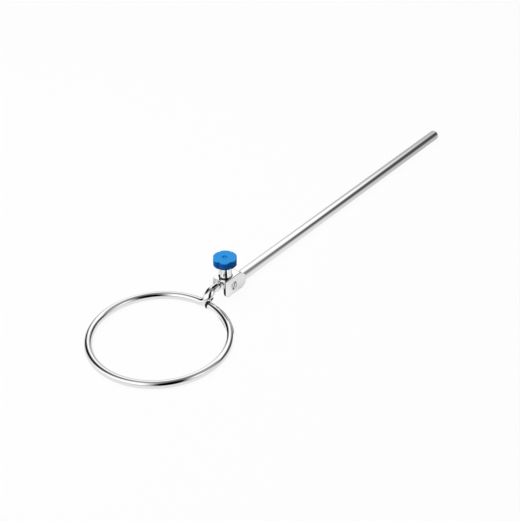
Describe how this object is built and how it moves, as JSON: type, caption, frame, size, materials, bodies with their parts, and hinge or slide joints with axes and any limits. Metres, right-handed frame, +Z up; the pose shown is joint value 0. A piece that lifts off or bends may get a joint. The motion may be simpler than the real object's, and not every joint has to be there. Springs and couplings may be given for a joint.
{
  "type": "laboratory support ring on an extension rod",
  "caption": "Steel support ring, 102 mm inside, tilting on a small cast head that a blue thumb screw locks, with a 310 mm polished extension rod.",
  "frame": {"origin": "on the extension rod's axis, where the rod leaves the head", "axes": "+X along the extension rod towards its free end, +Z up the thumb screw"},
  "size_m": [0.4654, 0.1146, 0.0344],
  "materials": {
    "polished_steel": "polished",
    "nickel_cast": "satin",
    "turned_steel": "satin",
    "blue_anodised": "satin",
    "brass": "satin"
  },
  "bodies": {
    "head": {"head": "nickel_cast", "extension_rod": "polished_steel", "pivot_screw": "turned_steel"},
    "ring": {"ring": "polished_steel", "knuckle": "turned_steel"},
    "pad": {"pressure_pad": "brass"},
    "thumb_screw": {"knob": "blue_anodised", "screw_stud": "turned_steel"}
  },
  "joints": [
    {"name": "ring_tilt", "type": "hinge", "parent": "head", "child": "ring", "pos_m": [-0.016, 0, 0.003], "axis": [0, -1, 0], "range_deg": [0, 80]},
    {"name": "pad_travel", "type": "slide", "parent": "head", "child": "pad", "axis": [0, 0, 1], "range_m": [0, 0.0031]},
    {"name": "knob_turn", "type": "hinge", "parent": "pad", "child": "thumb_screw", "pos_m": [-0.0187, 0, 0.02], "axis": [0, 0, 1], "range_deg": [0, 1080]}
  ],
  "couplings": [
    {"joint": "pad_travel", "follows": "knob_turn", "m_per_rad": 0.00015915}
  ]
}
